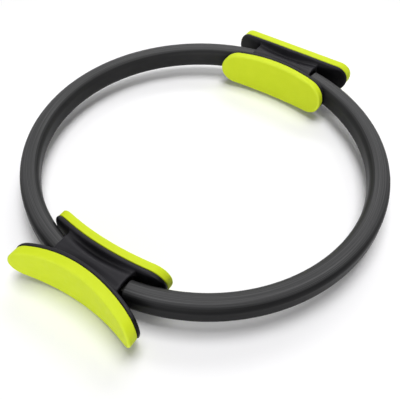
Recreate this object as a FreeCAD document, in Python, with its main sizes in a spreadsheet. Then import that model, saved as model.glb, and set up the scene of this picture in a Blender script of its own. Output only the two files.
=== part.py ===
import FreeCAD, Part
import os

import Sketcher
from FreeCAD import Placement, Rotation, Vector

# A pilates ring: a flexible hoop with two padded handles, in millimetres.
#
# The ring lies flat, +Z up, with its origin on the floor below the ring's centre. The handles stand
# on the Y axis, the front one at -Y and the rear one at +Y. A handle is drawn in a frame of its own:
# x along the hoop, +y towards the ring's centre, and z zero at half its height.
# The hoop is drawn as four quarters, parted at the sides where the real one only bends.

SIZES = {
    # Hoop: a rubber tube round three flexible strips
    "ring_outer_radius": 190.0,
    "tube_width": 20.5,
    "tube_height": 26.0,
    "tube_corner": 8.5,
    "strip_thickness": 2.4,
    "strip_height": 14.0,
    "strip_gap": 0.2,
    "split_gap": 0.3,
    # Where the tube and its strips end at a handle, from the handle's middle, and where they flex
    "jacket_end": 40.0,
    "strip_end": 20.0,
    "flex_pivot": 33.0,
    # Handle: how far its middle lies inside the hoop's line, how far a pad's face stands off the tube's
    # side there, and the faces' curves as shares of the hoop's radius
    "handle_inset": 4.55,
    "face_reach": 13.05,
    "outer_face_radius_share": 0.9235,
    "inner_face_radius_share": 1.2,
    # Foam pads, oval in outline
    "outer_pad_thickness": 10.6,
    "outer_pad_half_length": 71.5,
    "outer_pad_half_height": 25.4,
    "outer_pad_end_radius": 18.5,
    "inner_pad_thickness": 8.5,
    "inner_pad_half_length": 65.2,
    "inner_pad_half_height": 22.6,
    "inner_pad_end_radius": 19.8,
    "pad_edge_round": 2.5,
    "glue_gap": 0.2,
    # Plates behind the pads, the outer ones with their edge taken off level where the ring stands on it
    "plate_thickness": 3.8,
    "plate_margin": 0.4,
    "foot_flat": 0.3,
    # Waisted sleeve between the plates, and the web beside it
    "sleeve_half_length": 37.0,
    "crest_wall": 4.2,
    "crest_corner_gap": 0.5,
    "mouth_wall": 2.4,
    "mouth_corner": 9.0,
    "waist_half_width": 6.5,
    "web_half_height": 14.5,
    "web_half_length": 36.0,
    # Sockets behind the ends of the tube, set towards the ring's centre
    "socket_floor": 27.0,
    "socket_shift": 3.0,
    "socket_side_clearance": 2.6,
    "socket_clearance": 0.3,
    # Joiner block between the ends of the core
    "joiner_wall": 1.2,
    "joiner_clearance": 0.2,
    "core_end_clearance": 1.0,
    "core_side_clearance": 2.4,
    "core_top_clearance": 0.3,
    # Screws that hold the two shells of a handle together
    "screw_radius": 1.5,
    "screw_length": 20.0,
    "screw_tip": 2.0,
    "screw_head_radius": 2.8,
    "screw_head_height": 2.0,
    "screw_head_depth": 2.4,
    "screw_clearance": 0.1,
    "screw_spacing_x": 20.0,
    "screw_spacing_z": 23.0,
    # How far cutting shapes run past what they cut
    "overrun": 10.0,
}

STRIPS = ("inner", "middle", "outer")

doc = FreeCAD.newDocument("pilates_ring")
sheet = doc.addObject("Spreadsheet::Sheet", "Sizes")
for row, (name, number) in enumerate(SIZES.items(), start=1):
    sheet.set("A%d" % row, name)
    sheet.set("B%d" % row, str(number))
    sheet.setAlias("B%d" % row, name)
doc.recompute()


def of(name):
    """The expression that reads one size from the sheet."""
    return "Sizes." + name


def value(expression):
    """What an expression comes to now, as a plain number."""
    result = sheet.evalExpression(expression)
    return float(getattr(result, "Value", result))


# Sizes that follow from the driving ones, as expressions
HOOP_RADIUS = "(Sizes.ring_outer_radius - Sizes.tube_width / 2)"
STACK_WIDTH = "(3 * Sizes.strip_thickness + 2 * Sizes.strip_gap)"
MIDDLE_HEIGHT = "(Sizes.outer_pad_half_height + Sizes.plate_margin - Sizes.foot_flat)"
HANDLE_OFFSET = "(%s - Sizes.handle_inset)" % HOOP_RADIUS
FACE_OFFSET = "(Sizes.tube_width / 2 + Sizes.face_reach)"
OUTER_PLATE_FACE = "(%s - Sizes.outer_pad_thickness - Sizes.glue_gap)" % FACE_OFFSET
INNER_PLATE_FACE = "(%s - Sizes.inner_pad_thickness - Sizes.glue_gap)" % FACE_OFFSET
MOUTH_HALF_WIDTH = "(Sizes.tube_width / 2 + Sizes.socket_side_clearance + Sizes.mouth_wall)"
CREST_HALF_HEIGHT = "(Sizes.tube_height / 2 + Sizes.socket_clearance + Sizes.crest_wall)"
PIVOT_Y = "(%s - sqrt(%s ^ 2 - Sizes.flex_pivot ^ 2))" % (HANDLE_OFFSET, HOOP_RADIUS)
SOCKET_Y = "(%s + Sizes.socket_shift)" % PIVOT_Y
JOINER_Y = "(%s - sqrt(%s ^ 2 - Sizes.strip_end ^ 2))" % (HANDLE_OFFSET, HOOP_RADIUS)
POCKET_WIDTH = "(%s + 2 * Sizes.core_side_clearance)" % STACK_WIDTH
POCKET_HEIGHT = "(Sizes.strip_height + 2 * Sizes.core_top_clearance)"
POCKET_FLOOR = "(Sizes.strip_end - Sizes.core_end_clearance)"
JOINER_WIDTH = "(%s + 2 * Sizes.joiner_wall)" % POCKET_WIDTH
JOINER_HEIGHT = "(%s + 2 * Sizes.joiner_wall)" % POCKET_HEIGHT
SCREW_SEAT = "(%s - Sizes.screw_head_depth)" % INNER_PLATE_FACE


# Small helpers for sketches and solids
def bind(item, expressions):
    """Tie properties of an object to expressions over the sheet."""
    for prop, expression in expressions.items():
        item.setExpression(prop, expression)


def new_body(name):
    body = doc.addObject("PartDesign::Body", name)
    body.Label = name
    return body


def origin_feature(body, role):
    return next(item for item in body.Origin.OriginFeatures if item.Role == role)


def new_sketch(body, name, plane, offset=None):
    """A sketch on one of its body's own origin planes, moved in that plane's axes."""
    sketch = body.newObject("Sketcher::SketchObject", name)
    sketch.AttachmentSupport = [(origin_feature(body, plane), "")]
    sketch.MapMode = "FlatFace"
    for axis, expression in (offset or {}).items():
        sketch.setExpression("AttachmentOffset.Base." + axis, expression)
    return sketch


def constrain(sketch, kind, *references):
    return sketch.addConstraint(Sketcher.Constraint(kind, *references))


def dimension(sketch, kind, *references_and_expression):
    """A dimension whose size is tied to the sheet."""
    *references, expression = references_and_expression
    index = constrain(sketch, kind, *references, value(expression))
    sketch.setExpression("Constraints[%d]" % index, expression)


def draw_polygon(sketch, corners):
    """A closed outline through corners given as pairs of expressions. None means on that axis."""
    spots = [Vector(value(x or "0"), value(y or "0"), 0) for x, y in corners]
    count = len(corners)
    lines = [
        sketch.addGeometry(Part.LineSegment(spots[k], spots[(k + 1) % count]), False)
        for k in range(count)
    ]
    for k in range(count):
        constrain(sketch, "Coincident", lines[k - 1], 2, lines[k], 1)
    for line, (x, y) in zip(lines, corners):
        if x is None:
            constrain(sketch, "PointOnObject", line, 1, -2)
        else:
            dimension(sketch, "DistanceX", -1, 1, line, 1, x)
        if y is None:
            constrain(sketch, "PointOnObject", line, 1, -1)
        else:
            dimension(sketch, "DistanceY", -1, 1, line, 1, y)


def draw_rectangle(sketch, left, right, low, high):
    draw_polygon(sketch, [(left, low), (right, low), (right, high), (left, high)])


def draw_circle(sketch, centre_y, radius):
    """A circle with its centre on the sketch's upright axis."""
    middle = Vector(0, value(centre_y), 0)
    circle = sketch.addGeometry(Part.Circle(middle, Vector(0, 0, 1), value(radius)), False)
    constrain(sketch, "PointOnObject", circle, 3, -2)
    dimension(sketch, "DistanceY", -1, 1, circle, 3, centre_y)
    dimension(sketch, "Radius", circle, radius)


def add_arc(sketch, x, y, radius, start, end):
    """An arc drawn anticlockwise between two angles in degrees."""
    circle = Part.Circle(Vector(x, y, 0), Vector(0, 0, 1), radius)
    turn = FreeCAD.Units.parseQuantity("1 deg").getValueAs("rad").Value
    return sketch.addGeometry(Part.ArcOfCircle(circle, start * turn, end * turn), False)


def add_line(sketch, x1, y1, x2, y2):
    return sketch.addGeometry(Part.LineSegment(Vector(x1, y1, 0), Vector(x2, y2, 0)), False)


def draw_oval(sketch, half_length, half_height, end_radius):
    """An oval about the sketch's origin: two round ends between two shallow arcs that touch them."""
    reach = "(%s - %s)" % (half_length, end_radius)
    rise = "(%s - %s)" % (half_height, end_radius)
    side_radius = "((%s ^ 2 + %s ^ 2 - %s ^ 2) / (2 * %s))" % (reach, half_height, end_radius, rise)
    drop = "(%s - %s)" % (side_radius, half_height)
    x, y = value(reach), value(drop)
    small, large = value(end_radius), value(side_radius)
    turn = value("atan(%s / %s)" % (drop, reach))
    right = add_arc(sketch, x, 0, small, -turn, turn)
    top = add_arc(sketch, 0, -y, large, turn, 180 - turn)
    left = add_arc(sketch, -x, 0, small, 180 - turn, 180 + turn)
    bottom = add_arc(sketch, 0, y, large, 180 + turn, 360 - turn)
    chain = [right, top, left, bottom]
    for k in range(len(chain)):
        constrain(sketch, "Tangent", chain[k - 1], 2, chain[k], 1)
    constrain(sketch, "Equal", right, left)
    constrain(sketch, "Equal", top, bottom)
    constrain(sketch, "Symmetric", right, 3, left, 3, -1, 1)
    constrain(sketch, "PointOnObject", right, 3, -1)
    dimension(sketch, "DistanceX", -1, 1, right, 3, reach)
    dimension(sketch, "Radius", right, end_radius)
    dimension(sketch, "Radius", top, side_radius)


def draw_rounded_rectangle(sketch, width, height, corner):
    """A rectangle with round corners about the sketch's origin."""
    radius = value(corner)
    x = value(width) / 2
    y = value(height) / 2
    chain = [
        add_line(sketch, radius - x, -y, x - radius, -y),
        add_arc(sketch, x - radius, radius - y, radius, -90, 0),
        add_line(sketch, x, radius - y, x, y - radius),
        add_arc(sketch, x - radius, y - radius, radius, 0, 90),
        add_line(sketch, x - radius, y, radius - x, y),
        add_arc(sketch, radius - x, y - radius, radius, 90, 180),
        add_line(sketch, -x, y - radius, -x, radius - y),
        add_arc(sketch, radius - x, radius - y, radius, 180, 270),
    ]
    for k in range(len(chain)):
        constrain(sketch, "Tangent", chain[k - 1], 2, chain[k], 1)
    bottom, low_right, right, high_right, top, high_left, left, low_left = chain
    constrain(sketch, "Horizontal", bottom)
    constrain(sketch, "Horizontal", top)
    constrain(sketch, "Vertical", right)
    constrain(sketch, "Vertical", left)
    for arc in (high_right, high_left, low_left):
        constrain(sketch, "Equal", low_right, arc)
    constrain(sketch, "Symmetric", low_right, 3, high_left, 3, -1, 1)
    dimension(sketch, "Radius", low_right, corner)
    dimension(sketch, "DistanceX", left, 1, right, 1, width)
    dimension(sketch, "DistanceY", bottom, 1, top, 1, height)


def add_pad(body, sketch, length, symmetric=False, reverse=False):
    pad = body.newObject("PartDesign::Pad", sketch.Name + "_pad")
    pad.Profile = sketch
    pad.SideType = "Symmetric" if symmetric else "One side"
    pad.Reversed = reverse
    pad.setExpression("Length", length)
    doc.recompute()


def add_pocket(body, sketch, length):
    """A cut to both sides of its sketch, which has to take something away."""
    before = body.Shape.Volume
    pocket = body.newObject("PartDesign::Pocket", sketch.Name + "_pocket")
    pocket.Profile = sketch
    pocket.SideType = "Symmetric"
    pocket.setExpression("Length", length)
    doc.recompute()
    if not body.Shape.Volume < before:
        raise RuntimeError(pocket.Name + " cuts nothing")


def add_revolution(body, sketch, axis, angle):
    turn = body.newObject("PartDesign::Revolution", sketch.Name + "_turn")
    turn.Profile = sketch
    turn.ReferenceAxis = axis
    turn.setExpression("Angle", angle)
    doc.recompute()
    return turn


def block(name, size, centre):
    """A Part box about a centre. Both are three expressions."""
    box = doc.addObject("Part::Box", name)
    for prop, axis, length, middle in zip(("Length", "Width", "Height"), "xyz", size, centre):
        box.setExpression(prop, length)
        box.setExpression("Placement.Base." + axis, "%s - (%s) / 2" % (middle, length))
    return box


def fuse(name, shapes):
    result = doc.addObject("Part::MultiFuse", name)
    result.Shapes = shapes
    return result


def combine(kind, name, base, tool):
    result = doc.addObject("Part::" + kind, name)
    result.Base = base
    result.Tool = tool
    return result


# The two handles, by how far each is turned about the ring's axis from the front
HANDLE_ANGLES = {"front": 0, "rear": 180}


def set_in_place(item, handle):
    """Move a piece from the handle's frame to its place on the ring."""
    turn = HANDLE_ANGLES[handle]
    item.Placement = Placement(Vector(), Rotation(Vector(0, 0, 1), turn))
    away = "-cos(%d deg) * %s" % (turn, HANDLE_OFFSET)
    bind(item, {"Placement.Base.y": away, "Placement.Base.z": MIDDLE_HEIGHT})


# The two faces of a handle: which way they look along y
FACES = {"outer": -1, "inner": 1}


def face_radius_of(face):
    return "(%s * Sizes.%s_face_radius_share)" % (HOOP_RADIUS, face)


def curved_slab(name, face, margin, front, back):
    """An oval slab bent about an upright axis, hollow on the side it looks to.

    It stands out from the pad's outline by the margin. front and back are the distances of its two
    surfaces behind the pad's face.
    """
    side = FACES[face]
    half_length, half_height, end_radius = (
        "(Sizes.%s_pad_%s + %s)" % (face, length, margin)
        for length in ("half_length", "half_height", "end_radius")
    )
    face_radius = face_radius_of(face)
    centre_y = "%d * (%s + %s)" % (side, FACE_OFFSET, face_radius)
    depth = "%s + %s ^ 2 / %s + Sizes.overrun" % (FACE_OFFSET, half_length, face_radius)
    body = new_body(name)
    outline = new_sketch(body, name + "_outline", "XZ_Plane")
    draw_oval(outline, half_length, half_height, end_radius)
    add_pad(body, outline, depth, reverse=side > 0)
    hollow = new_sketch(body, name + "_hollow", "XY_Plane")
    draw_circle(hollow, centre_y, "%s + %s" % (face_radius, front))
    through = "2 * (%s + Sizes.overrun)" % half_height
    add_pocket(body, hollow, through)
    rear_side = new_sketch(body, name + "_rear_side", "XY_Plane")
    reach = "(%s + %s + Sizes.overrun)" % (FACE_OFFSET, face_radius)
    low = "%s - %s" % (centre_y, reach)
    high = "%s + %s" % (centre_y, reach)
    draw_rectangle(rear_side, "-" + reach, reach, low, high)
    draw_circle(rear_side, centre_y, "%s + %s" % (face_radius, back))
    add_pocket(body, rear_side, through)
    return body


def make_pad(handle, face):
    """A foam pad, rounded round the edge of its face."""
    name = "%s_%s_pad" % (handle, face)
    body = curved_slab(name, face, "0", "0", of(face + "_pad_thickness"))
    face_radius = value(face_radius_of(face))
    surface = [
        item
        for item in body.Tip.Shape.Faces
        if isinstance(item.Surface, Part.Cylinder)
        and abs(item.Surface.Radius - face_radius) < value("Sizes.glue_gap")
    ]
    front_edges = [edge.hashCode() for part in surface for edge in part.Edges]
    slab = body.Tip
    names = [
        "Edge%d" % number
        for number, edge in enumerate(slab.Shape.Edges, start=1)
        if edge.hashCode() in front_edges
    ]
    rounding = body.newObject("PartDesign::Fillet", name + "_round")
    rounding.Base = (slab, names)
    rounding.setExpression("Radius", of("pad_edge_round"))
    doc.recompute()
    set_in_place(body, handle)
    return body


def make_plate(face):
    front = "(Sizes.%s_pad_thickness + Sizes.glue_gap)" % face
    back = "(%s + Sizes.plate_thickness)" % front
    return curved_slab(face + "_plate", face, of("plate_margin"), front, back)


def make_sleeve():
    """The waisted sleeve: wide round mouths at both ends, drawn in at the middle."""
    body = new_body("sleeve")
    waist_corner = "(Sizes.waist_half_width - Sizes.crest_corner_gap)"
    stations = [
        ("left_mouth", "-Sizes.sleeve_half_length", MOUTH_HALF_WIDTH, of("mouth_corner")),
        ("waist", "0", of("waist_half_width"), waist_corner),
        ("right_mouth", of("sleeve_half_length"), MOUTH_HALF_WIDTH, of("mouth_corner")),
    ]
    sections = []
    for name, place, half_width, corner in stations:
        section = new_sketch(body, name + "_section", "YZ_Plane", {"z": place})
        draw_rounded_rectangle(section, "2 * " + half_width, "2 * " + CREST_HALF_HEIGHT, corner)
        sections.append(section)
    loft = body.newObject("PartDesign::AdditiveLoft", "sleeve_loft")
    loft.Profile = sections[0]
    loft.Sections = sections[1:]
    doc.recompute()
    return body


def make_socket(name, side):
    """The hollow behind one end of the tube, with room beside it for the core to turn."""
    body = new_body(name)
    mouth = "Sizes.sleeve_half_length + Sizes.overrun"
    floor = {"x": SOCKET_Y, "z": "%d * Sizes.socket_floor" % side}
    section = new_sketch(body, name + "_section", "YZ_Plane", floor)
    draw_rounded_rectangle(
        section,
        "Sizes.tube_width + 2 * Sizes.socket_side_clearance",
        "Sizes.tube_height + 2 * Sizes.socket_clearance",
        "Sizes.tube_corner + Sizes.socket_clearance",
    )
    add_pad(body, section, mouth + " - Sizes.socket_floor", reverse=side < 0)
    return body


def screw_profile(sketch, clearance, head_top, length):
    """Half the outline of a screw or of its hole, about the sketch's upright axis."""
    shank = "Sizes.screw_radius + " + clearance
    head = "Sizes.screw_head_radius + " + clearance
    end = "%s - %s" % (SCREW_SEAT, length)
    draw_polygon(
        sketch,
        [
            (None, end),
            (shank, end + " + Sizes.screw_tip"),
            (shank, SCREW_SEAT),
            (head, SCREW_SEAT),
            (head, SCREW_SEAT + " + " + head_top),
            (None, SCREW_SEAT + " + " + head_top),
        ],
    )


def make_screws(name, clearance, head_top, length):
    """Four alike screws, or the four holes that take them."""
    body = new_body(name)
    spot = {"x": "-Sizes.screw_spacing_x / 2", "z": "-Sizes.screw_spacing_z / 2"}
    profile = new_sketch(body, name + "_profile", "XY_Plane", spot)
    screw_profile(profile, clearance, head_top, length)
    turn = add_revolution(body, profile, (profile, ["V_Axis"]), "360 deg")
    pattern = body.newObject("PartDesign::LinearPattern", name + "_pattern")
    pattern.Originals = [turn]
    pattern.Direction = (origin_feature(body, "X_Axis"), [""])
    pattern.Direction2 = (origin_feature(body, "Z_Axis"), [""])
    pattern.Occurrences = 2
    pattern.Occurrences2 = 2
    bind(pattern, {"Length": of("screw_spacing_x"), "Length2": of("screw_spacing_z")})
    body.Tip = pattern
    doc.recompute()
    return body


def make_moulding():
    """Both shells of a handle in one, before they are parted at the handle's middle plane."""
    plates = [make_plate(face) for face in FACES]
    web_width = "(%s + %s - Sizes.plate_thickness)" % (INNER_PLATE_FACE, OUTER_PLATE_FACE)
    web_middle = "(%s - %s) / 2" % (INNER_PLATE_FACE, OUTER_PLATE_FACE)
    web_size = ("2 * Sizes.web_half_length", web_width, "2 * Sizes.web_half_height")
    web = block("web", web_size, ("0", web_middle, "0"))
    raw = fuse("raw_moulding", plates + [make_sleeve(), web])
    joiner_room = block(
        "joiner_room",
        (
            "2 * (Sizes.socket_floor + Sizes.joiner_clearance)",
            "%s + 2 * Sizes.joiner_clearance" % JOINER_WIDTH,
            "%s + 2 * Sizes.joiner_clearance" % JOINER_HEIGHT,
        ),
        ("0", JOINER_Y, "0"),
    )
    screw_holes = make_screws(
        "screw_holes",
        of("screw_clearance"),
        "Sizes.screw_head_depth + Sizes.overrun",
        "Sizes.screw_length + Sizes.screw_clearance",
    )
    sockets = [make_socket("left_socket", -1), make_socket("right_socket", 1)]
    hollows = fuse("hollows", sockets + [joiner_room, screw_holes])
    moulding = combine("Cut", "moulding", raw, hollows)
    doc.recompute()
    return moulding


def make_shell(handle, face, moulding):
    """The half of the moulding on one side of the handle's middle plane, level where the ring stands."""
    name = "%s_%s_shell" % (handle, face)
    half_length = "(%s + Sizes.overrun)" % of(face + "_pad_half_length")
    depth = "(%s + %s ^ 2 / %s)" % (FACE_OFFSET, half_length, face_radius_of(face))
    half = block(
        name + "_half",
        ("2 * " + half_length, depth, "2 * " + MIDDLE_HEIGHT),
        ("0", "%d * %s / 2" % (FACES[face], depth), "0"),
    )
    shell = combine("Common", name, moulding, half)
    shell.Label = name
    set_in_place(shell, handle)
    return shell


def make_joiner(handle):
    """The block between the two ends of the core, with a pocket at each end."""
    name = handle + "_joiner"
    body = new_body(name)
    outline = new_sketch(body, name + "_outline", "XY_Plane", {"y": JOINER_Y})
    half_width = JOINER_WIDTH + " / 2"
    draw_rectangle(outline, "-Sizes.socket_floor", of("socket_floor"), "-" + half_width, half_width)
    add_pad(body, outline, JOINER_HEIGHT, symmetric=True)
    pockets = new_sketch(body, name + "_pockets", "XY_Plane", {"y": JOINER_Y})
    half_pocket = POCKET_WIDTH + " / 2"
    beyond = "(Sizes.socket_floor + Sizes.overrun)"
    draw_rectangle(pockets, POCKET_FLOOR, beyond, "-" + half_pocket, half_pocket)
    draw_rectangle(pockets, "-" + beyond, "-" + POCKET_FLOOR, "-" + half_pocket, half_pocket)
    add_pocket(body, pockets, POCKET_HEIGHT)
    set_in_place(body, handle)
    return body


def make_handle_screws(handle):
    body = make_screws(handle + "_screws", "0", of("screw_head_height"), of("screw_length"))
    set_in_place(body, handle)
    return body


# The hoop's quarters: the angle from +X at which each begins, before the handle's end is left out
QUARTERS = {"right_rear": 0, "left_rear": 90, "left_front": 180, "right_front": 270}


def end_angle(end):
    """The angle at the ring's centre from a quarter's square end plane to an end this far short of it."""
    return "asin(%s / %s)" % (end, HOOP_RADIUS)


SIDE_ANGLE = end_angle("Sizes.split_gap / 2")


def set_quarter(body, quarter, end):
    """Turn a quarter to its place. It ends short of the side plane and inside the handle."""
    begin = QUARTERS[quarter]
    starts_at_side = begin % 180 == 0
    trim = SIDE_ANGLE if starts_at_side else end_angle(end)
    body.Placement = Placement(Vector(), Rotation(Vector(0, 0, 1), begin))
    turn = "%d deg + %s" % (begin, trim)
    bind(body, {"Placement.Rotation.Angle": turn, "Placement.Base.z": MIDDLE_HEIGHT})


def quarter_span(end):
    return "90 deg - %s - %s" % (SIDE_ANGLE, end_angle(end))


def make_jacket(quarter):
    """A quarter of the rubber tube, with the bore that holds the strips."""
    name = quarter + "_jacket"
    body = new_body(name)
    section = new_sketch(body, name + "_section", "XZ_Plane", {"x": HOOP_RADIUS})
    draw_rounded_rectangle(section, of("tube_width"), of("tube_height"), of("tube_corner"))
    bore_x = "(%s / 2 + Sizes.strip_gap)" % STACK_WIDTH
    bore_z = "(Sizes.strip_height / 2 + Sizes.strip_gap)"
    draw_rectangle(section, "-" + bore_x, bore_x, "-" + bore_z, bore_z)
    add_revolution(body, section, (origin_feature(body, "Z_Axis"), [""]), quarter_span(of("jacket_end")))
    set_quarter(body, quarter, of("jacket_end"))
    return body


def make_strip(quarter, place, step):
    """A quarter of one flexible strip. step counts strips outwards from the middle one."""
    name = "%s_%s_strip" % (quarter, place)
    body = new_body(name)
    middle = "(%s + %d * (Sizes.strip_thickness + Sizes.strip_gap))" % (HOOP_RADIUS, step)
    section = new_sketch(body, name + "_section", "XZ_Plane", {"x": middle})
    draw_rectangle(
        section,
        "-Sizes.strip_thickness / 2",
        "Sizes.strip_thickness / 2",
        "-Sizes.strip_height / 2",
        "Sizes.strip_height / 2",
    )
    add_revolution(body, section, (origin_feature(body, "Z_Axis"), [""]), quarter_span(of("strip_end")))
    set_quarter(body, quarter, of("strip_end"))
    return body


# The pieces
pieces = []
handle_moulding = make_moulding()
for handle in HANDLE_ANGLES:
    for face in FACES:
        pieces.append(make_shell(handle, face, handle_moulding))
        pieces.append(make_pad(handle, face))
    pieces.append(make_joiner(handle))
    pieces.append(make_handle_screws(handle))
for quarter in QUARTERS:
    pieces.append(make_jacket(quarter))
    for step, place in enumerate(STRIPS, start=-1):
        pieces.append(make_strip(quarter, place, step))
doc.recompute()

# Nothing is written unless every object and every piece came out sound
for item in doc.Objects:
    if "Invalid" in item.State or "Error" in item.State:
        raise RuntimeError("%s failed: %s" % (item.Name, item.State))
for piece in pieces:
    if piece.Shape.isNull() or not piece.Shape.isValid() or not piece.Shape.Solids:
        raise RuntimeError(piece.Label + " has no sound solid")

os.makedirs("parts", exist_ok=True)
for piece in pieces:
    piece.Shape.exportStep("parts/%s.step" % piece.Label)
    print("%-28s %d solids %10.1f mm3" % (piece.Label, len(piece.Shape.Solids), piece.Shape.Volume))
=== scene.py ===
"""Looks of the pilates ring: its shells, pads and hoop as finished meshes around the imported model.

Lengths are in millimetres in the tables of shapes, and in metres in Blender and in the values of the
materials, the stage and the camera. All of it is in the model's own frame. A handle is drawn in a
frame of its own: x along the hoop, +y towards the ring's centre, z 0 at half its height. The rear
handle is the front one turned half round.
"""
import math

import bpy
import numpy as np
from mathutils import Matrix


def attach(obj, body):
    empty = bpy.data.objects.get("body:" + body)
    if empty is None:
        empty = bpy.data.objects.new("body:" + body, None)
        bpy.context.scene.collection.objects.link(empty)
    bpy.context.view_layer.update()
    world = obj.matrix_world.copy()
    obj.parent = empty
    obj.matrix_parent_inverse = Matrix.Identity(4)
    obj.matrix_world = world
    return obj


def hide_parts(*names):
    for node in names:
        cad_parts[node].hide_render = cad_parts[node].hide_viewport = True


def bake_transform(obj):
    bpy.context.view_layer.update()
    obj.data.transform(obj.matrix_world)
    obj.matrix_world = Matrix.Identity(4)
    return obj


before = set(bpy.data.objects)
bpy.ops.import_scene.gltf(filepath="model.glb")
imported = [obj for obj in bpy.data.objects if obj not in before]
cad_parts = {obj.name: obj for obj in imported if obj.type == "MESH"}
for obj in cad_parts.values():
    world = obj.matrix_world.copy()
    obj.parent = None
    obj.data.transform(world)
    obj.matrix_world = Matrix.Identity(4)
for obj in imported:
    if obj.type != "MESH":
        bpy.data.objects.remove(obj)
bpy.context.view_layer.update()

MM = 0.001

# Hoop: a rubber tube of rounded section round three strips
HOOP_RADIUS = 179.75
TUBE_WIDTH = 20.5
TUBE_HEIGHT = 26.0
TUBE_CORNER = 8.5
BORE_HALF_WIDTH = 4.0
BORE_HALF_HEIGHT = 7.2
GIRTH_COUNT = 168
LENGTH_COUNT = 112
HOOP_SHARP_ANGLE = 50.0

# Ends of the tube: where they are, their rounding, and how far the outer wall runs on towards a handle
TUBE_END = 40.0
TUBE_END_ROUND = 0.9
TUBE_END_STEPS = 5
TUBE_END_SLANT = 1.8
TUBE_SLANT_LENGTH = 12.0
TUBE_HALF_LENGTH = HOOP_RADIUS * (math.pi / 2 - math.asin(TUBE_END / HOOP_RADIUS))

# Extruded lines along the tube: their places round its top from the middle
RIB_PLACES = (-6.6, -4.5, -2.4, -0.3, 1.8, 3.9, 6.0)
RIB_HEIGHT = 0.07
RIB_WIDTH = 0.55

# Handle and its two curved faces
MIDDLE_HEIGHT = 25.5
HANDLE_OFFSET = 175.2
FACE_OFFSET = 23.3
FACE_RADIUS = {"outer": HOOP_RADIUS * 0.9235, "inner": HOOP_RADIUS * 1.2}
FACE_SIDE = {"outer": -1, "inner": 1}

# Foam pads, oval in outline, and how many points go along a pad's side and round its end
PAD_THICKNESS = {"outer": 10.6, "inner": 8.5}
PAD_HALF_LENGTH = {"outer": 71.5, "inner": 65.2}
PAD_HALF_HEIGHT = {"outer": 25.4, "inner": 22.6}
PAD_END_RADIUS = {"outer": 18.5, "inner": 19.8}
PAD_EDGE_ROUND = 2.5
PAD_BACK_ROUND = 0.8
PAD_CROWN = 0.3
PAD_SIDE_COUNT = 44
PAD_END_COUNT = 40

# Rings of a pad: shares of the way from its edge to its middle line on the back and the front, shares
# of the way along its straight side, and how many go round its two edges
PAD_BACK_SHARES = (0.98, 0.8, 0.6, 0.4, 0.2)
PAD_SIDE_SHARES = (0.35, 0.7)
PAD_FRONT_SHARES = (0.04, 0.1, 0.18, 0.28, 0.4, 0.53, 0.67, 0.82, 0.98)
PAD_BACK_STEPS = 5
PAD_EDGE_STEPS = 11

# Middle and reach of the painted highlight on a pad's front edge, as shares of its rounding
PAD_HIGHLIGHT_MIDDLE = 0.3
PAD_HIGHLIGHT_REACH = 0.9

# Plastic plates behind the pads, level where the ring stands on them
GLUE_GAP = 0.2
PLATE_THICKNESS = 3.8
PLATE_MARGIN = 0.4
PLATE_ROUND = 1.7

# Waisted sleeve between the plates, its mouths and the web beside it
CREST_HALF_HEIGHT = 17.5
WAIST_HALF_WIDTH = 4.8
WAIST_CORNER = 4.6
MOUTH_HALF_WIDTH = 15.25
MOUTH_CORNER = 12.5
SLEEVE_HALF_LENGTH = 37.0
LIP_FLARE = 2.0
LIP_ROUND = 1.2
WEB_MIDDLE = 1.05
WEB_HALF_SIZE = (36.0, 11.65, 13.4)
WEB_ROUND = 2.0
SLEEVE_BLEND = 6.0
WEB_BLEND = 6.5

# Seam between a handle's two shells, and how near to it a face counts as lying on it
SEAM_HALF_GAP = 0.01
SEAM_REACH = 0.05

# Height below which a shell's surface gets painted shade, and over how much the shade deepens
PAINTED_SHADE_TOP = 17.2
PAINTED_SHADE_DEPTH = 3.0

# Step by which a shell's bulging edges are found, and how strongly they count as worn
BULGE_STEP = 1.0
BULGE_GAIN = 1.2

# Hollows in the shells: the sockets, the joiner's room and the screws' holes
SOCKET_Y = 1.51
SOCKET_HALF_SIZE = {"floor": (6.5, 9.0), "mouth": (12.85, 13.3)}
SOCKET_CORNER = {"floor": 4.0, "mouth": 8.8}
SOCKET_FLOOR = 27.0
SOCKET_MOUTH = 35.5
JOINER_ROOM_Y = -3.4
JOINER_ROOM_HALF_SIZE = (27.2, 7.6, 8.7)
SCREW_PLACES = (10.0, 11.5)
SCREW_HOLE = {"radius": 1.6, "end": -7.9, "head_radius": 2.9, "seat": 12.2}

# Grid in which a shell's surface is found. Its points are drawn to the middle of their cell's crossings
# and stay within a share of a step from there. Normals are read a share of the way inside each face.
FIELD_STEP = 0.9
FIELD_BOX = {
    "outer": ((-74.0, -31.5, -27.2), (74.0, 1.5, 27.2)),
    "inner": ((-68.0, -1.5, -25.0), (68.0, 27.5, 25.0)),
}
FIELD_DRAW = 0.06
FIELD_SHIFT_LIMIT = 0.6
SLOPE_STEP = 0.01
NORMAL_INSET = 0.3


# Distance fields, negative inside, over arrays of points in a handle's frame
def oval_arcs(face, margin=0.0):
    """A pad's oval or one wider by a margin: where its end arcs are centred, how far past the middle
    its side arcs are, and the radii of both."""
    end_radius = PAD_END_RADIUS[face] + margin
    half_height = PAD_HALF_HEIGHT[face] + margin
    reach = PAD_HALF_LENGTH[face] - PAD_END_RADIUS[face]
    side_radius = (reach ** 2 + half_height ** 2 - end_radius ** 2) / (2 * (half_height - end_radius))
    return reach, side_radius - half_height, end_radius, side_radius


def oval_distance(x, z, face, margin):
    """Distance to a pad's oval, made wider by a margin."""
    reach, drop, end_radius, side_radius = oval_arcs(face, margin)
    x, z = np.abs(x), np.abs(z)
    at_end = x * drop > reach * (z + drop)
    return np.where(at_end, np.hypot(x - reach, z) - end_radius, np.hypot(x, z + drop) - side_radius)


def box_distance(offsets, rounding):
    """Distance to a rounded box, from how far a point lies past each of its faces."""
    past = [offset + rounding for offset in offsets]
    outside = np.sqrt(sum(np.maximum(item, 0.0) ** 2 for item in past))
    inside = np.minimum(np.maximum.reduce(past), 0.0)
    return outside + inside - rounding


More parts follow.
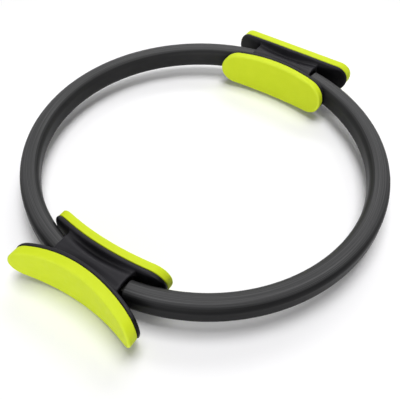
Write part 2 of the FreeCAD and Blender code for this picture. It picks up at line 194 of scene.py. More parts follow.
def join_fields(a, b, reach):
    """Union with a fillet that reaches this far."""
    share = np.clip(0.5 + 0.5 * (b - a) / reach, 0.0, 1.0)
    return b + (a - b) * share - reach * share * (1.0 - share)


def cut_fields(a, b, reach):
    """What a and b share, with the edge between them rounded."""
    return -join_fields(-a, -b, reach)


def face_depth(x, y, face):
    """How far a point lies behind a pad's curved face."""
    centre = FACE_SIDE[face] * (FACE_OFFSET + FACE_RADIUS[face])
    return np.hypot(x, y - centre) - FACE_RADIUS[face]


def plate_field(x, y, z, face):
    """The curved plate behind a pad."""
    middle = PAD_THICKNESS[face] + GLUE_GAP + PLATE_THICKNESS / 2
    outline = np.maximum(oval_distance(x, z, face, PLATE_MARGIN), np.abs(z) - MIDDLE_HEIGHT)
    across = np.abs(face_depth(x, y, face) - middle) - PLATE_THICKNESS / 2
    return box_distance([outline, across], PLATE_ROUND)


def sleeve_field(x, y, z):
    """The sleeve, drawn in at its waist."""
    share = np.minimum((x / SLEEVE_HALF_LENGTH) ** 2, 1.0)
    half_width = WAIST_HALF_WIDTH + (MOUTH_HALF_WIDTH - WAIST_HALF_WIDTH) * share
    corner = WAIST_CORNER + (MOUTH_CORNER - WAIST_CORNER) * share
    return box_distance([np.abs(y) - half_width, np.abs(z) - CREST_HALF_HEIGHT], corner)


def web_field(x, y, z):
    """The web between the plates, which covers the screws."""
    places = (x, y - WEB_MIDDLE, z)
    return box_distance([np.abs(place) - half for place, half in zip(places, WEB_HALF_SIZE)], WEB_ROUND)


def hollow_field(x, y, z):
    """The sockets, the joiner's room and the screws' holes, in one."""
    share = np.clip((np.abs(x) - SOCKET_FLOOR) / (SOCKET_MOUTH - SOCKET_FLOOR), 0.0, 1.0)
    floor_size, mouth_size = SOCKET_HALF_SIZE["floor"], SOCKET_HALF_SIZE["mouth"]
    half_width, half_height = (a + (b - a) * share for a, b in zip(floor_size, mouth_size))
    corner = SOCKET_CORNER["floor"] + (SOCKET_CORNER["mouth"] - SOCKET_CORNER["floor"]) * share
    section = [np.abs(y - SOCKET_Y) - half_width, np.abs(z) - half_height]
    socket = np.maximum(box_distance(section, corner), SOCKET_FLOOR - np.abs(x))
    length, width, height = JOINER_ROOM_HALF_SIZE
    offsets = [np.abs(x) - length, np.abs(y - JOINER_ROOM_Y) - width, np.abs(z) - height]
    room = np.maximum.reduce(offsets)
    away = np.hypot(np.abs(x) - SCREW_PLACES[0], np.abs(z) - SCREW_PLACES[1])
    shank = np.maximum(away - SCREW_HOLE["radius"], SCREW_HOLE["end"] - y)
    head = np.maximum(away - SCREW_HOLE["head_radius"], SCREW_HOLE["seat"] - y)
    return np.minimum.reduce([socket, room, shank, head])


def handle_field(x, y, z):
    """Both shells of a handle in one, before they are cut apart along the seam."""
    plates = np.minimum(plate_field(x, y, z, "outer"), plate_field(x, y, z, "inner"))
    core = join_fields(sleeve_field(x, y, z), web_field(x, y, z), WEB_BLEND)
    solid = join_fields(plates, core, SLEEVE_BLEND)
    lip = SLEEVE_HALF_LENGTH + LIP_FLARE * np.minimum(np.abs(y) / MOUTH_HALF_WIDTH, 1.0) ** 2
    solid = np.minimum(plates, cut_fields(solid, np.abs(x) - lip, LIP_ROUND))
    for face in FACE_SIDE:
        solid = np.maximum(solid, PAD_THICKNESS[face] + GLUE_GAP - face_depth(x, y, face))
    return cut_fields(solid, -hollow_field(x, y, z), LIP_ROUND)


def shell_field(face):
    """The field of one of a handle's two shells, on its own side of the seam."""
    return lambda x, y, z: np.maximum(handle_field(x, y, z), SEAM_HALF_GAP - FACE_SIDE[face] * y)


def field_slopes(field, points):
    """The field's direction of growth at points, by small steps."""
    slopes = np.empty_like(points)
    for axis in range(3):
        ahead = points.copy()
        behind = points.copy()
        ahead[:, axis] += SLOPE_STEP
        behind[:, axis] -= SLOPE_STEP
        slopes[:, axis] = field(*ahead.T) - field(*behind.T)
    return slopes / np.maximum(np.linalg.norm(slopes, axis=1, keepdims=True), 1e-12)


def edge_crossings(field, values, axis, low, step):
    """Where the surface crosses the grid's edges along one axis, with the four cells round each."""
    here = [slice(1, -1)] * 3
    there = [slice(1, -1)] * 3
    here[axis] = slice(0, -1)
    there[axis] = slice(1, None)
    start, end = values[tuple(here)], values[tuple(there)]
    index = np.argwhere((start < 0) != (end < 0))
    first = start[tuple(index.T)]
    last = end[tuple(index.T)]
    index += np.array([0 if other == axis else 1 for other in range(3)])
    points = np.array(low) + index * step
    points[:, axis] += step * first / (first - last)
    cells = np.empty((len(index), 4), int)
    cell_shape = tuple(count - 1 for count in values.shape)
    for corner, (a, b) in enumerate([(-1, -1), (0, -1), (0, 0), (-1, 0)]):
        place = index.copy()
        place[:, (axis + 1) % 3] += a
        place[:, (axis + 2) % 3] += b
        cells[:, corner] = np.ravel_multi_index(tuple(place.T), cell_shape)
    cells[first > 0] = cells[first > 0][:, ::-1]
    return cells, points, field_slopes(field, points)


def mesh_field(field, low, high, step):
    """A closed mesh of where a field is zero.

    Each cell of a grid that the surface passes through gets one point, placed where the tangent
    planes at the crossings of its edges meet, so that edges stay crisp. Each crossed edge of the
    grid gets one face between the four cells around it.
    """
    axes = [np.arange(a, b + step, step) for a, b in zip(low, high)]
    values = field(*np.meshgrid(*axes, indexing="ij"))
    found = [edge_crossings(field, values, axis, low, step) for axis in range(3)]
    cells, points, slopes = (np.concatenate(item) for item in zip(*found))
    used, corner_of = np.unique(cells.ravel(), return_inverse=True)
    crossing_of = np.repeat(np.arange(len(points)), 4)

    def gather(numbers):
        return np.bincount(corner_of, weights=numbers[crossing_of], minlength=len(used))

    count = gather(np.ones(len(points)))
    middle = np.stack([gather(points[:, k]) for k in range(3)], axis=1) / count[:, None]
    matrix = np.empty((len(used), 3, 3))
    for row in range(3):
        for column in range(3):
            matrix[:, row, column] = gather(slopes[:, row] * slopes[:, column])
    along = np.einsum("ij,ij->i", slopes, points)
    target = np.stack([gather(slopes[:, k] * along) for k in range(3)], axis=1)
    target -= np.einsum("ijk,ik->ij", matrix, middle)
    matrix += FIELD_DRAW * count[:, None, None] * np.eye(3)
    shift = np.linalg.solve(matrix, target[:, :, None])[:, :, 0]
    limit = FIELD_SHIFT_LIMIT * step
    return middle + np.clip(shift, -limit, limit), corner_of.reshape(-1, 4)


# Mesh pieces
def to_ring(points, handle):
    """From a handle's frame to the ring's, still in millimetres."""
    placed = points + np.array([0.0, -HANDLE_OFFSET, 0.0])
    if handle == "rear":
        placed = placed * np.array([-1.0, -1.0, 1.0])
    return placed + np.array([0.0, 0.0, MIDDLE_HEIGHT])


def new_piece(name, points, faces, sharp_angle=40.0):
    """A mesh object from points in the ring's frame, in millimetres."""
    mesh = bpy.data.meshes.new(name)
    mesh.from_pydata((points * MM).tolist(), [], [[int(k) for k in face] for face in faces])
    mesh.update()
    mesh.shade_smooth()
    mesh.set_sharp_from_angle(angle=math.radians(sharp_angle))
    piece = bpy.data.objects.new(name, mesh)
    bpy.context.scene.collection.objects.link(piece)
    return piece


def add_layer(piece, name, numbers):
    """One number at each vertex, for the piece's material."""
    layer = piece.data.attributes.new(name, "FLOAT", "POINT")
    layer.data.foreach_set("value", np.asarray(numbers, np.float32))


def ring_faces(ring_count, count, closed, flip):
    """Faces between rings of points, where the last ring may join the first."""
    faces = []
    for ring in range(ring_count if closed else ring_count - 1):
        start, next_start = ring * count, (ring + 1) % ring_count * count
        for k in range(count):
            after = (k + 1) % count
            quad = [start + k, start + after, next_start + after, next_start + k]
            faces.append(quad[::-1] if flip else quad)
    return faces


def corner_normals(points, faces, face):
    """Normals at the corners of a shell's faces.

    They are square to the seam on it, and elsewhere come from the field before it is cut there.
    """
    corners = points[faces]
    inside = corners + (corners.mean(axis=1, keepdims=True) - corners) * NORMAL_INSET
    normals = field_slopes(handle_field, inside.reshape(-1, 3)).reshape(-1, 4, 3)
    off_seam = np.abs(corners[:, :, 1] * FACE_SIDE[face] - SEAM_HALF_GAP).max(axis=1)
    normals[off_seam < SEAM_REACH] = (0.0, -FACE_SIDE[face], 0.0)
    return normals.reshape(-1, 3)


def bulge_shares(points):
    """How sharply a shell bulges at points, from 0 to 1."""
    bulge = np.zeros(len(points))
    here = handle_field(*points.T)
    for axis in range(3):
        for step in (-BULGE_STEP, BULGE_STEP):
            aside = points.copy()
            aside[:, axis] += step
            bulge += handle_field(*aside.T) - here
    return np.clip(BULGE_GAIN * bulge / BULGE_STEP ** 2, 0.0, 1.0)


def make_shells():
    """The two shells of both handles, with layers for worn edges and for the painted shade in their
    hollows.
    """
    pieces = []
    for face in FACE_SIDE:
        points, faces = mesh_field(shell_field(face), *FIELD_BOX[face], FIELD_STEP)
        normals = corner_normals(points, faces, face)
        edge = bulge_shares(points)
        # painted shade: the lower a point lies between the plates, the darker its colour
        painted_shade = np.clip((PAINTED_SHADE_TOP - np.abs(points[:, 2])) / PAINTED_SHADE_DEPTH, 0.0, 1.0)
        for handle, turned in (("front", (1, 1, 1)), ("rear", (-1, -1, 1))):
            piece = new_piece("%s_%s_moulding" % (handle, face), to_ring(points, handle), faces)
            piece.data.normals_split_custom_set((normals * np.array(turned)).tolist())
            add_layer(piece, "edge", edge)
            add_layer(piece, "painted_shade", painted_shade)
            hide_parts("%s_%s_shell" % (handle, face))
            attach(piece, handle + "_handle")
            pieces.append(piece)
    return pieces


def pad_outline(face):
    """Points round a pad's edge, and at each the way out from it and the middle line's nearest point."""
    reach, drop, end_radius, side_radius = oval_arcs(face)
    turn = math.atan2(drop, reach)
    end_turns = np.linspace(-turn, turn, PAD_END_COUNT, endpoint=False)
    side_turns = np.linspace(turn, math.pi - turn, PAD_SIDE_COUNT, endpoint=False)
    turns = np.concatenate([end_turns, side_turns])
    outward = np.stack([np.cos(turns), np.sin(turns)], axis=1)
    half = np.concatenate([
        outward[:PAD_END_COUNT] * end_radius + np.array([reach, 0.0]),
        outward[PAD_END_COUNT:] * side_radius - np.array([0.0, drop]),
    ])
    along = np.clip(half[:, 0] * reach / half[PAD_END_COUNT, 0], -reach, reach)
    along[:PAD_END_COUNT] = reach
    middle = np.stack([along, np.zeros(len(along))], axis=1)
    return tuple(np.concatenate([item, -item]) for item in (half, outward, middle))


def pad_section(face):
    """Inset from the edge, share of the way on to the middle line and depth behind the face.

    The rows go from the middle of the back round the edge to the middle of the front.
    """
    thickness = PAD_THICKNESS[face]
    section = [(PAD_BACK_ROUND, share, thickness) for share in PAD_BACK_SHARES]
    for angle in np.radians(np.linspace(0, 90, PAD_BACK_STEPS)):
        inset = PAD_BACK_ROUND * (1 - math.sin(angle))
        section.append((inset, 0.0, thickness - PAD_BACK_ROUND * (1 - math.cos(angle))))
    straight = thickness - PAD_BACK_ROUND - PAD_EDGE_ROUND
    for share in PAD_SIDE_SHARES:
        section.append((0.0, 0.0, PAD_EDGE_ROUND + straight * (1 - share)))
    for angle in np.radians(np.linspace(0, 90, PAD_EDGE_STEPS)):
        inset = PAD_EDGE_ROUND * (1 - math.cos(angle))
        section.append((inset, 0.0, PAD_EDGE_ROUND * (1 - math.sin(angle))))
    for share in PAD_FRONT_SHARES:
        section.append((PAD_EDGE_ROUND, share, -PAD_CROWN * (1 - (1 - share) ** 2)))
    return section


def edge_share(inset, share, depth):
    """Share of the painted highlight: 1 on the pad's rounded front edge, falling to 0 on its face and its
    side.
    """
    middle = PAD_EDGE_ROUND * PAD_HIGHLIGHT_MIDDLE
    away = math.hypot(inset - middle, depth - middle)
    return 0.0 if share else max(0.0, 1 - away / (PAD_EDGE_ROUND * PAD_HIGHLIGHT_REACH))


def close_slot(first, flip):
    """Faces across the narrow slot that is left inside a pad's last ring."""
    half = PAD_END_COUNT + PAD_SIDE_COUNT
    faces = [
        [first + k for k in range(PAD_END_COUNT + 1)],
        [first + half + k for k in range(PAD_END_COUNT + 1)],
    ]
    for k in range(PAD_SIDE_COUNT):
        top = first + PAD_END_COUNT + k
        low = first + (2 * half - k) % (2 * half)
        faces.append([low, top, top + 1, first + 2 * half - k - 1])
    return [face[::-1] for face in faces] if flip else faces


def make_pad(handle, face):
    """A foam pad bent to the handle's curved face, rounded at its edge and slightly crowned."""
    outline, outward, middle = pad_outline(face)
    section = pad_section(face)
    count = len(outline)
    centre = FACE_SIDE[face] * (FACE_OFFSET + FACE_RADIUS[face])
    rings = []
    for inset, share, depth in section:
        flat = outline - outward * inset
        flat = flat + (middle - flat) * share
        y = centre - FACE_SIDE[face] * np.sqrt((FACE_RADIUS[face] + depth) ** 2 - flat[:, 0] ** 2)
        rings.append(np.stack([flat[:, 0], y, flat[:, 1]], axis=1))
    flip = face == "inner"
    faces = ring_faces(len(section), count, closed=False, flip=flip)
    faces += close_slot(0, not flip)
    faces += close_slot((len(section) - 1) * count, flip)
    piece = new_piece("%s_%s_foam" % (handle, face), to_ring(np.concatenate(rings), handle), faces)
    # layer for the painted highlight along the pad's front edge
    add_layer(piece, "edge", np.repeat([edge_share(*place) for place in section], count))
    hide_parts("%s_%s_pad" % (handle, face))
    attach(piece, handle + "_handle")
    return piece


def tube_section():
    """Points round the tube, outwards and up from its centre, with their normals and girth.

    The round starts in the middle of the underside and goes out, up, in and down again.
    """
    flat_x = TUBE_WIDTH / 2 - TUBE_CORNER
    flat_z = TUBE_HEIGHT / 2 - TUBE_CORNER
    bend = TUBE_CORNER * math.pi / 2
    legs = [flat_x, bend, 2 * flat_z, bend, 2 * flat_x, bend, 2 * flat_z, bend, flat_x]
    ends = np.cumsum(legs)
    girth = np.linspace(0, ends[-1], GIRTH_COUNT, endpoint=False)
    corners = [(flat_x, -flat_z), (flat_x, flat_z), (-flat_x, flat_z), (-flat_x, -flat_z)]
    points = np.empty((GIRTH_COUNT, 2))
    normals = np.empty((GIRTH_COUNT, 2))
    for k, place in enumerate(girth):
        leg = int(np.searchsorted(ends, place, side="right"))
        into = place - (ends[leg - 1] if leg else 0.0)
        if leg % 2:
            corner = leg // 2
            angle = math.radians(-90 + 90 * corner) + into / TUBE_CORNER
            normals[k] = (math.cos(angle), math.sin(angle))
            points[k] = np.array(corners[corner]) + TUBE_CORNER * normals[k]
        else:
            side = leg // 2 % 4
            angle = math.radians(-90 + 90 * side)
            normals[k] = (math.cos(angle), math.sin(angle))
            ahead = np.array([-normals[k][1], normals[k][0]])
            begin = np.array(corners[side - 1]) + TUBE_CORNER * normals[k]
            if leg == 0:
                begin = np.array([0.0, -TUBE_HEIGHT / 2])
            points[k] = begin + ahead * into
    from_top = girth - ends[-1] / 2
    ribs = sum(np.exp(-(((from_top - place) / RIB_WIDTH) ** 2)) for place in RIB_PLACES)
    points += normals * (RIB_HEIGHT * (ribs - 1.0))[:, None]
    return points, normals, girth


def tube_rings(section, normals):
    """Places along the tube from its middle, each with its ring of points: the outside, then the bore."""
    width, height = np.maximum(np.abs(section), 1e-9).T
    scale = np.minimum(BORE_HALF_WIDTH / width, BORE_HALF_HEIGHT / height)
    bore = section * scale[:, None]
    half = TUBE_HALF_LENGTH
    rounding = []
    for angle in np.radians(np.linspace(0, 90, TUBE_END_STEPS)):
        inset = TUBE_END_ROUND * (1 - math.sin(angle))
        rounding.append((half - TUBE_END_ROUND * (1 - math.cos(angle)), section - normals * inset))
    straight = np.linspace(TUBE_END_ROUND - half, half - TUBE_END_ROUND, LENGTH_COUNT)
    rings = [(-place, offsets) for place, offsets in rounding]
    rings += [(place, section) for place in straight[1:-1]]
    rings += rounding[::-1]
    return rings + [(place, bore) for place in np.linspace(half, -half, LENGTH_COUNT)]


def bend_ring(place, offsets, begin):
    """A ring of the tube's points in the ring's frame, slanted where it is near a handle."""
    near_end = max(0.0, 1 - (TUBE_HALF_LENGTH - abs(place)) / TUBE_SLANT_LENGTH)
    from_inner_wall = offsets[:, 0] / TUBE_WIDTH + 0.5
    slant = math.copysign(TUBE_END_SLANT * near_end, place) * from_inner_wall
    angle = begin + (place + slant) / HOOP_RADIUS
    radius = HOOP_RADIUS + offsets[:, 0]
    height = MIDDLE_HEIGHT + offsets[:, 1]
    return np.stack([radius * np.cos(angle), radius * np.sin(angle), height], axis=1)


def add_length_and_girth(piece, places, girth, faces):
    """Texture coordinates in metres: along the tube and round it."""
    ring, point = np.divmod(np.array(faces), GIRTH_COUNT)
    around = girth[point]
    last = (point == GIRTH_COUNT - 1).any(axis=1)
    around[last[:, None] & (point == 0)] = girth[1] * GIRTH_COUNT
    corners = np.stack([np.array(places)[ring], around], axis=2) * MM
    layer = piece.data.uv_layers.new(name="length_and_girth")
    layer.data.foreach_set("uv", corners.astype(np.float32).ravel())


def make_half_hoop(side):
    """One side's tube in one length, open along its bore, with the ends that show at the handles."""
    section, normals, girth = tube_section()
    rings = tube_rings(section, normals)
    begin = 0.0 if side == "right" else math.pi
    points = np.concatenate([bend_ring(place, offsets, begin) for place, offsets in rings])
    faces = ring_faces(len(rings), GIRTH_COUNT, closed=True, flip=True)
    piece = new_piece(side + "_hoop", points, faces, HOOP_SHARP_ANGLE)
    # share facing up, for the painted light on the tube's top
    add_layer(piece, "level", np.tile(normals[:, 1], len(rings)))
    # share facing inward, for the painted shade that darkens the outer wall
    add_layer(piece, "inward", np.tile((1 - normals[:, 0]) / 2, len(rings)))
    add_length_and_girth(piece, [place for place, offsets in rings], girth, faces)
    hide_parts(side + "_front_jacket", side + "_rear_jacket")
    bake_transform(piece)
    return piece


# Colours of the materials, pairs from the darker to the lighter patches
LIME = ((0.585, 0.705, 0.016), (0.615, 0.73, 0.02))
# painted highlight along a pad's front edge
LIME_PAINTED_EDGE_HIGHLIGHT = (0.66, 0.79, 0.06)
BLACK = ((0.017, 0.0163, 0.0195), (0.022, 0.0212, 0.0245))
BLACK_WORN = (0.031, 0.03, 0.034)
# painted shade for the shells' hollows
BLACK_PAINTED_SHADE = (0.002, 0.0019, 0.0025)
# painted shade on the tube's outer wall, painted light on its inner wall and on its top, whose lighter
# tone paints highlight lines
RUBBER_PAINTED_SHADE_OUTER_WALL = ((0.006, 0.006, 0.0064), (0.009, 0.009, 0.0095))
RUBBER_PAINTED_LIGHT_INNER_WALL = ((0.018, 0.018, 0.0186), (0.024, 0.024, 0.0248))
RUBBER_PAINTED_LIGHT_TOP = ((0.046, 0.046, 0.047), (0.105, 0.105, 0.107))
# painted shade: the strips are darkened to stand for the shade in the mouths' recesses
FIBRE_PAINTED_SHADE = ((0.018, 0.018, 0.017), (0.035, 0.034, 0.031))
NYLON = ((0.5, 0.5, 0.465), (0.58, 0.58, 0.55))
ZINC = ((0.46, 0.47, 0.49), (0.56, 0.56, 0.57))
MASK = ((0.0, 0.0, 0.0), (1.0, 1.0, 1.0))

# Where noise mostly lies, where the painted highlight lines on the tube's top lie in it, and how level
# the tube's top must be for its painted light
NOISE_RANGE = (0.3, 0.7)
PAINTED_HIGHLIGHT_LINE_RANGE = (0.45, 0.75)
PAINTED_TOP_LIGHT_RANGE = (0.66, 0.95)
EDGE_PATCH_SCALE = 160.0


# Material nodes
def add_node(tree, kind, inputs=None, **settings):
    """A shader node with its inputs linked or set."""
    node = tree.nodes.new("ShaderNode" + kind)
    for name, setting in settings.items():
        setattr(node, name, setting)
    for name, item in (inputs or {}).items():
        socket = node.inputs[name]
        if isinstance(item, bpy.types.NodeSocket):
            tree.links.new(item, socket)
        else:
            socket.default_value = item
    return node


def start_material(name, specular, metallic=0.0):
    """A node material with these plain values, and its tree."""
    material = bpy.data.materials.new(name)
    material.use_nodes = True
    shader = material.node_tree.nodes["Principled BSDF"]
    shader.inputs["Specular IOR Level"].default_value = specular
    shader.inputs["Metallic"].default_value = metallic
    return material, material.node_tree


def finish_material(tree, colour, roughness, normal):
    """Links what varies over the surface to the material's shader."""
    shader = tree.nodes["Principled BSDF"]
    for name, source in (("Base Color", colour), ("Roughness", roughness), ("Normal", normal)):
        tree.links.new(source, shader.inputs[name])


def object_place(tree):
    return add_node(tree, "TexCoord").outputs["Object"]


def layer_value(tree, name):
    """The number that a piece's mesh keeps under this name."""
    return add_node(tree, "Attribute", attribute_name=name).outputs["Fac"]


def stretched(tree, source, scale):
    """Coordinates scaled apart along each axis."""
    return add_node(tree, "Mapping", {"Vector": source, "Scale": scale}).outputs["Vector"]


def noise(tree, source, scale=1.0, detail=3.0):
    inputs = {"Vector": source, "Scale": scale, "Detail": detail}
    return add_node(tree, "TexNoise", inputs).outputs["Fac"]


def math_node(tree, operation, a, b, **settings):
    return add_node(tree, "Math", {0: a, 1: b}, operation=operation, **settings).outputs["Value"]


def map_range(tree, source, limits, low=0.0, high=1.0):
    """A value between limits spread between two others."""
    start, end = limits
    inputs = {"Value": source, "From Min": start, "From Max": end, "To Min": low, "To Max": high}
    return add_node(tree, "MapRange", inputs).outputs["Result"]


def two_tone(tree, source, colours, limits=NOISE_RANGE):
    """A colour that goes from the first to the second between limits of a value."""
    node = add_node(tree, "ValToRGB", {"Fac": source})
    for element, place, colour in zip(node.color_ramp.elements, limits, colours):
        element.position = place
        element.color = (*colour, 1.0)
    return node.outputs["Color"]


def mix_colour(tree, factor, a, b):
    node = add_node(tree, "Mix", data_type="RGBA")
    tree.links.new(factor, node.inputs["Factor"])
    for socket, item in ((node.inputs[6], a), (node.inputs[7], b)):
        if isinstance(item, bpy.types.NodeSocket):
            tree.links.new(item, socket)
        else:
            socket.default_value = (*item, 1.0)
    return node.outputs[2]


def bump(tree, height, strength, depth, under=None):
    inputs = {"Height": height, "Strength": strength, "Distance": depth}
    if under is not None:
        inputs["Normal"] = under
    return add_node(tree, "Bump", inputs).outputs["Normal"]


def edge_wear_and_highlight(tree, place, low, high):
    """Where a piece's edge layer is broken up by noise into patches: wear on the plastic shells, a
    painted highlight on the foam pads.
    """
    patches = map_range(tree, noise(tree, place, EDGE_PATCH_SCALE), NOISE_RANGE, low, high)
    return math_node(tree, "MULTIPLY", layer_value(tree, "edge"), patches, use_clamp=True)


# Materials
def foam_material():
    """Lime foam with a fine-celled skin, painted paler along its front edge as a painted highlight."""
    material, tree = start_material("lime_foam", specular=0.15)
    place = object_place(tree)
    mottled = two_tone(tree, noise(tree, place, scale=70.0, detail=4.0), LIME)
    # painted highlight along the pad's front edge
    edge_highlight = edge_wear_and_highlight(tree, place, low=0.35, high=0.6)
    gloss = noise(tree, place, scale=240.0)
    skin = bump(tree, noise(tree, place, scale=420.0), strength=0.12, depth=0.0005)
    cells = add_node(tree, "TexVoronoi", {"Vector": place, "Scale": 1100.0}).outputs["Distance"]
    finish_material(
        tree,
        colour=mix_colour(tree, edge_highlight, mottled, LIME_PAINTED_EDGE_HIGHLIGHT),
        roughness=map_range(tree, gloss, NOISE_RANGE, low=0.52, high=0.66),
        normal=bump(tree, cells, strength=0.08, depth=0.0003, under=skin),
    )
    return material


def plastic_material():
    """Black moulded plastic, greyer on worn edges and painted deep black in its hollows as painted shade.
    """
    material, tree = start_material("black_plastic", specular=0.095)
    place = object_place(tree)
    cloudy = two_tone(tree, noise(tree, place, scale=55.0, detail=4.0), BLACK)
    worn = mix_colour(tree, edge_wear_and_highlight(tree, place, low=0.1, high=0.5), cloudy, BLACK_WORN)
    gloss = noise(tree, place, scale=130.0)
    grain = noise(tree, place, scale=1600.0, detail=2.0)
    finish_material(
        tree,
        # painted shade darkens the colour in the hollows
        colour=mix_colour(tree, layer_value(tree, "painted_shade"), worn, BLACK_PAINTED_SHADE),
        roughness=map_range(tree, gloss, NOISE_RANGE, low=0.38, high=0.48),
        normal=bump(tree, grain, strength=0.1, depth=0.0002),
    )
    return material


def rubber_material():
    """Dark rubber with fine lines along the tube, painted pale on its level top as painted light with
    painted highlight lines, and painted darker on its outer wall than its inner as painted shade.
    """
    material, tree = start_material("hoop_rubber", specular=0.07)
    along = add_node(tree, "UVMap", uv_map="length_and_girth").outputs["UV"]
    streaks = noise(tree, stretched(tree, along, (6.0, 1500.0, 1.0)), detail=4.0)
    patches = noise(tree, stretched(tree, along, (25.0, 60.0, 1.0)))
    pores = noise(tree, stretched(tree, along, (900.0, 900.0, 1.0)), detail=2.0)
    # painted shade on the outer wall, painted light on the inner wall
    outer = two_tone(tree, patches, RUBBER_PAINTED_SHADE_OUTER_WALL)
    inner = two_tone(tree, patches, RUBBER_PAINTED_LIGHT_INNER_WALL)
    painted_shade_walls = mix_colour(tree, layer_value(tree, "inward"), outer, inner)
    # painted light on the level top, with painted highlight lines from the streaks
    top = mix_colour(tree, two_tone(tree, streaks, MASK, PAINTED_HIGHLIGHT_LINE_RANGE), *RUBBER_PAINTED_LIGHT_TOP)
    painted_top_light = map_range(tree, layer_value(tree, "level"), PAINTED_TOP_LIGHT_RANGE)
    skin = bump(tree, pores, strength=0.06, depth=0.0002)
    finish_material(
        tree,
        colour=mix_colour(tree, painted_top_light, painted_shade_walls, top),
        roughness=map_range(tree, streaks, NOISE_RANGE, low=0.34, high=0.46),
        normal=bump(tree, streaks, strength=0.12, depth=0.0003, under=skin),
    )
    return material


def strip_material():
    """Glass fibre with strands along the strip, painted dark as the shade in the mouths' recesses where
    it shows.
    """
    material, tree = start_material("glass_fibre", specular=0.5)
    fibres = noise(tree, stretched(tree, object_place(tree), (15.0, 15.0, 1800.0)), detail=4.0)
    finish_material(
        tree,
        colour=two_tone(tree, fibres, FIBRE_PAINTED_SHADE),
        roughness=map_range(tree, fibres, NOISE_RANGE, low=0.28, high=0.42),
        normal=bump(tree, fibres, strength=0.2, depth=0.0002),
    )
    return material


def nylon_material():
    """Natural nylon, slightly cloudy."""
    material, tree = start_material("natural_nylon", specular=0.45)
    place = object_place(tree)
    cloud = noise(tree, place, scale=90.0)
    finish_material(
        tree,
        colour=two_tone(tree, cloud, NYLON),
        roughness=map_range(tree, cloud, NOISE_RANGE, low=0.44, high=0.56),
        normal=bump(tree, noise(tree, place, scale=1400.0), strength=0.1, depth=0.0002),
    )
    return material


def steel_material():
    """Zinc-plated steel with the marks of turning."""
    material, tree = start_material("zinc_steel", specular=0.5, metallic=1.0)
    place = object_place(tree)
    turned = noise(tree, stretched(tree, place, (200.0, 3000.0, 200.0)))
    finish_material(
        tree,
        colour=two_tone(tree, noise(tree, place, scale=600.0), ZINC),
        roughness=map_range(tree, turned, NOISE_RANGE, low=0.28, high=0.42),
        normal=bump(tree, turned, strength=0.15, depth=0.0001),
    )
    return material


def wear_material(piece, material):
    piece.data.materials.clear()
    piece.data.materials.append(material)


# Stage: a pale floor that turns to plain white between two distances from its middle, and three lamps
FLOOR_SIZE = 14.0
FLOOR_LIT = (0.9, 0.895, 0.93)
FLOOR_SEEN = (0.99, 0.985, 1.0)
FLOOR_GLOW = 0.03
FLOOR_FADE = (0.21, 0.45)
WHITE = (1.0, 1.0, 1.0, 1.0)
AMBIENT = 0.13
LAMPS = {
    "key": {"place": (-0.1, 0.35, 3.4), "size": (1.8, 1.8), "power": 86.0},
    "rim": {"place": (-0.7, 1.92, 1.9), "size": (2.2, 0.8), "power": 28.0},
    "fill": {"place": (1.6, -4.4, 0.95), "size": (6.0, 1.6), "power": 136.0},
}


def seen_directly(tree):
    """1 for rays from the camera, and for those that reflect or pass through to it."""
    path = add_node(tree, "LightPath").outputs
    in_view = math_node(tree, "MAXIMUM", path["Is Camera Ray"], path["Is Glossy Ray"])
    return math_node(tree, "MAXIMUM", in_view, path["Is Transmission Ray"])


def make_floor():
    half = FLOOR_SIZE / 2 / MM
    corners = np.array([(-half, -half, 0.0), (half, -half, 0.0), (half, half, 0.0), (-half, half, 0.0)])
    floor = new_piece("floor", corners, [[0, 1, 2, 3]])
    material = bpy.data.materials.new("pale_floor")
    material.use_nodes = True
    tree = material.node_tree
    tree.nodes.clear()
    seen = seen_directly(tree)
    pale = mix_colour(tree, seen, FLOOR_LIT, FLOOR_SEEN)
    matt = add_node(tree, "BsdfDiffuse", {"Color": pale}).outputs["BSDF"]
    away = add_node(tree, "VectorMath", {0: object_place(tree)}, operation="LENGTH").outputs["Value"]
    share = math_node(tree, "MULTIPLY", seen, map_range(tree, away, FLOOR_FADE, low=FLOOR_GLOW))
    white = add_node(tree, "Emission", {"Color": WHITE}).outputs["Emission"]
    both = add_node(tree, "MixShader", {0: share, 1: matt, 2: white}).outputs["Shader"]
    add_node(tree, "OutputMaterial", {"Surface": both})
    wear_material(floor, material)


def make_world():
    """White where it is seen, and a weak even light elsewhere."""
    world = bpy.data.worlds.new("studio")
    world.use_nodes = True
    tree = world.node_tree
    shader = tree.nodes["Background"]
    shader.inputs["Color"].default_value = WHITE
    strength = map_range(tree, seen_directly(tree), (0.0, 1.0), low=AMBIENT)
    tree.links.new(strength, shader.inputs["Strength"])
    bpy.context.scene.world = world


def axes_matrix(right, up, back, place):
    """The matrix of an object from its axes and its place."""
    columns = (right, up, back, place)
    return Matrix([[column[row] for column in columns] for row in range(3)] + [[0, 0, 0, 1]])


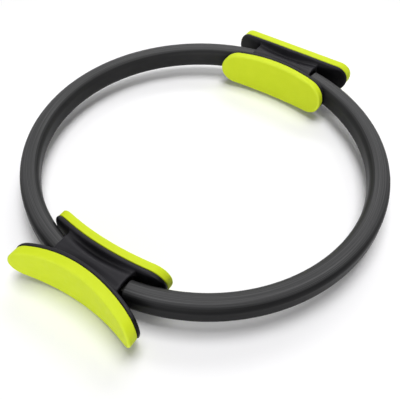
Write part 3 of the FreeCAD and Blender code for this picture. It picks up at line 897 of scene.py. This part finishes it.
def make_lamp(name, place, size, power):
    """A soft box that looks at the ring's centre."""
    lamp = bpy.data.lights.new(name, "AREA")
    lamp.shape = "RECTANGLE"
    lamp.size, lamp.size_y = size
    lamp.energy = power
    holder = bpy.data.objects.new(name, lamp)
    ahead = -np.array(place) / np.linalg.norm(place)
    across = np.cross(ahead, (0.0, 0.0, 1.0))
    across /= np.linalg.norm(across)
    holder.matrix_world = axes_matrix(across, np.cross(across, ahead), -ahead, place)
    bpy.context.scene.collection.objects.link(holder)


# Camera, fitted to the hoop's outline in the photograph
CAMERA_PLACE = (0.2226125, -0.3584649, 0.4568013)
CAMERA_RIGHT = (0.80311257, 0.59504949, -0.03043528)
CAMERA_UP = (-0.43802352, 0.62426661, 0.64685903)
CAMERA_BACK = (0.40391286, -0.50616925, 0.76200203)
CAMERA_SENSOR = 36.0
CAMERA_LENS = 51.08
CAMERA_SHIFT = (0.109, -0.00925)
CAMERA_NEAREST = 0.01


def make_camera():
    data = bpy.data.cameras.new("camera")
    data.sensor_width = CAMERA_SENSOR
    data.lens = CAMERA_LENS
    data.shift_x, data.shift_y = CAMERA_SHIFT
    data.clip_start = CAMERA_NEAREST
    camera = bpy.data.objects.new("camera", data)
    camera.matrix_world = axes_matrix(CAMERA_RIGHT, CAMERA_UP, CAMERA_BACK, CAMERA_PLACE)
    bpy.context.scene.collection.objects.link(camera)
    bpy.context.scene.camera = camera


# The pieces and their finish
plastic = plastic_material()
for shell in make_shells():
    wear_material(shell, plastic)
foam = foam_material()
for handle in ("front", "rear"):
    for face in FACE_SIDE:
        wear_material(make_pad(handle, face), foam)
rubber = rubber_material()
for side in ("left", "right"):
    wear_material(make_half_hoop(side), rubber)

CAD_FINISHES = {"strip": strip_material(), "joiner": nylon_material(), "screws": steel_material()}
for name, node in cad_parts.items():
    kind = name.split("_")[-1]
    if kind in CAD_FINISHES:
        wear_material(node, CAD_FINISHES[kind])

make_floor()
make_world()
for name, lamp in LAMPS.items():
    make_lamp(name, **lamp)
make_camera()
bpy.context.scene.view_settings.view_transform = "Standard"
